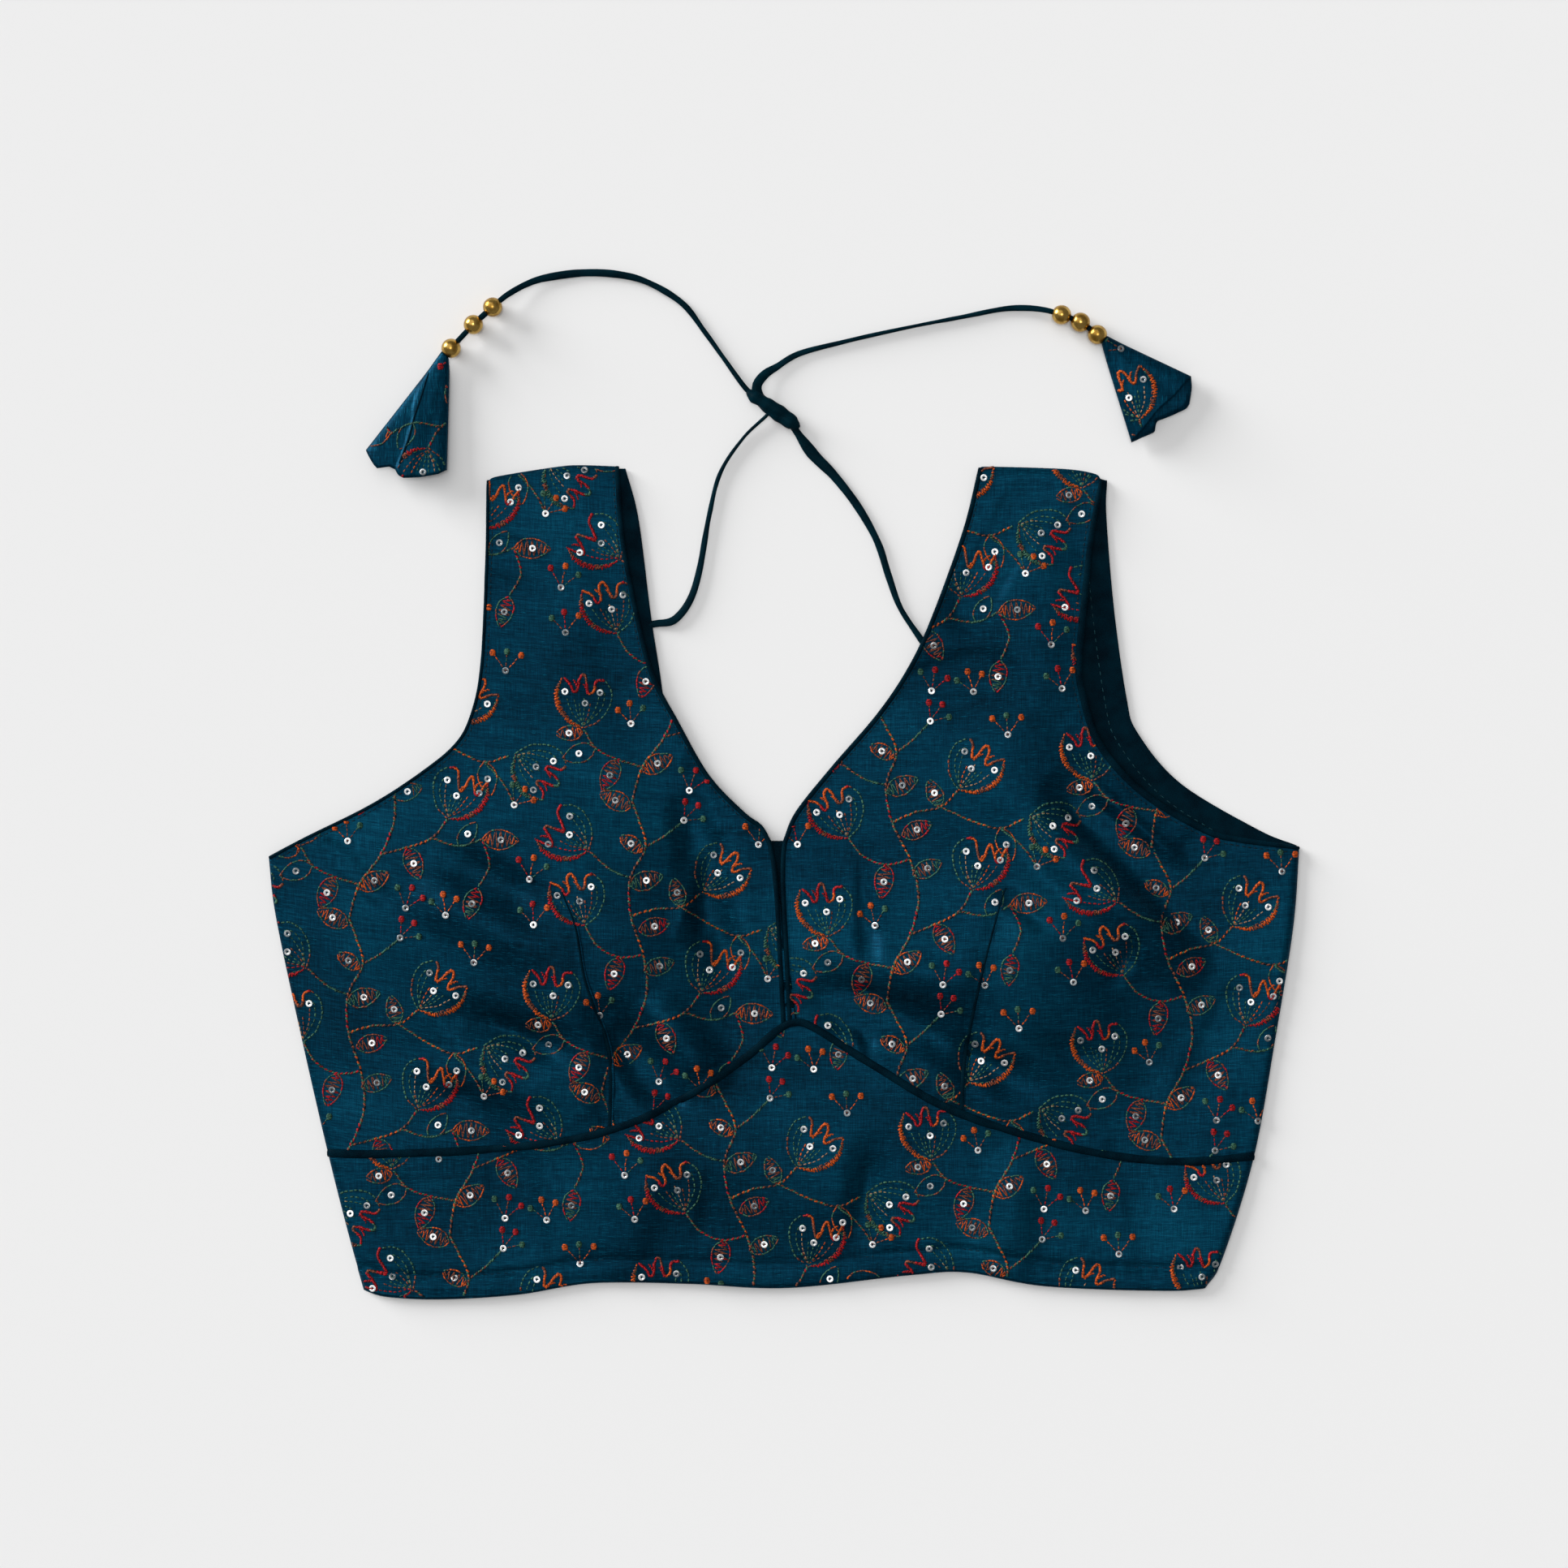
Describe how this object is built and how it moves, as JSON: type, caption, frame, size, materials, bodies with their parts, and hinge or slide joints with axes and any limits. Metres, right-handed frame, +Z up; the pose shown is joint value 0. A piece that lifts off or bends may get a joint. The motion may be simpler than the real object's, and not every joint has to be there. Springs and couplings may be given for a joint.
{
  "type": "choli blouse",
  "caption": "Sleeveless choli blouse laid flat, with darted cups, broad straps, a deep V neck, an under-bust belt and tied dori cords with beads and cloth tassels.",
  "frame": {"origin": "on the surface the blouse lies on, in the middle of the blouse without its cords", "axes": "+X across the blouse to the right as seen from above, +Y from hem to shoulders, +Z up"},
  "size_m": [0.4438, 0.443, 0.0152],
  "materials": {
    "silk": "slubbed silk with a soft sheen",
    "lining": "dark plain cloth, matt",
    "cord": "folded silk cord, soft sheen",
    "bead": "antique gold, polished and worn"
  },
  "bodies": {
    "root": {"front_left": "silk", "front_right": "silk", "front_belt": "silk", "back_left": "silk", "back_right": "silk", "slit_placket": "lining", "neck_piping_left": "lining", "neck_piping_right": "lining", "belt_piping": "lining", "armhole_piping_left": "lining", "armhole_piping_right": "lining", "back_neck_piping_left": "lining", "back_neck_piping_right": "lining", "back_armhole_piping_left": "lining", "back_armhole_piping_right": "lining", "dori_left_lower": "cord", "dori_right_lower": "cord", "dori_left_upper": "cord", "dori_right_upper": "cord", "dori_knot": "cord", "bead_left_1": "bead", "bead_left_2": "bead", "bead_left_3": "bead", "bead_right_1": "bead", "bead_right_2": "bead", "bead_right_3": "bead", "tassel_left": "silk", "tassel_right": "silk"}
  },
  "joints": []
}
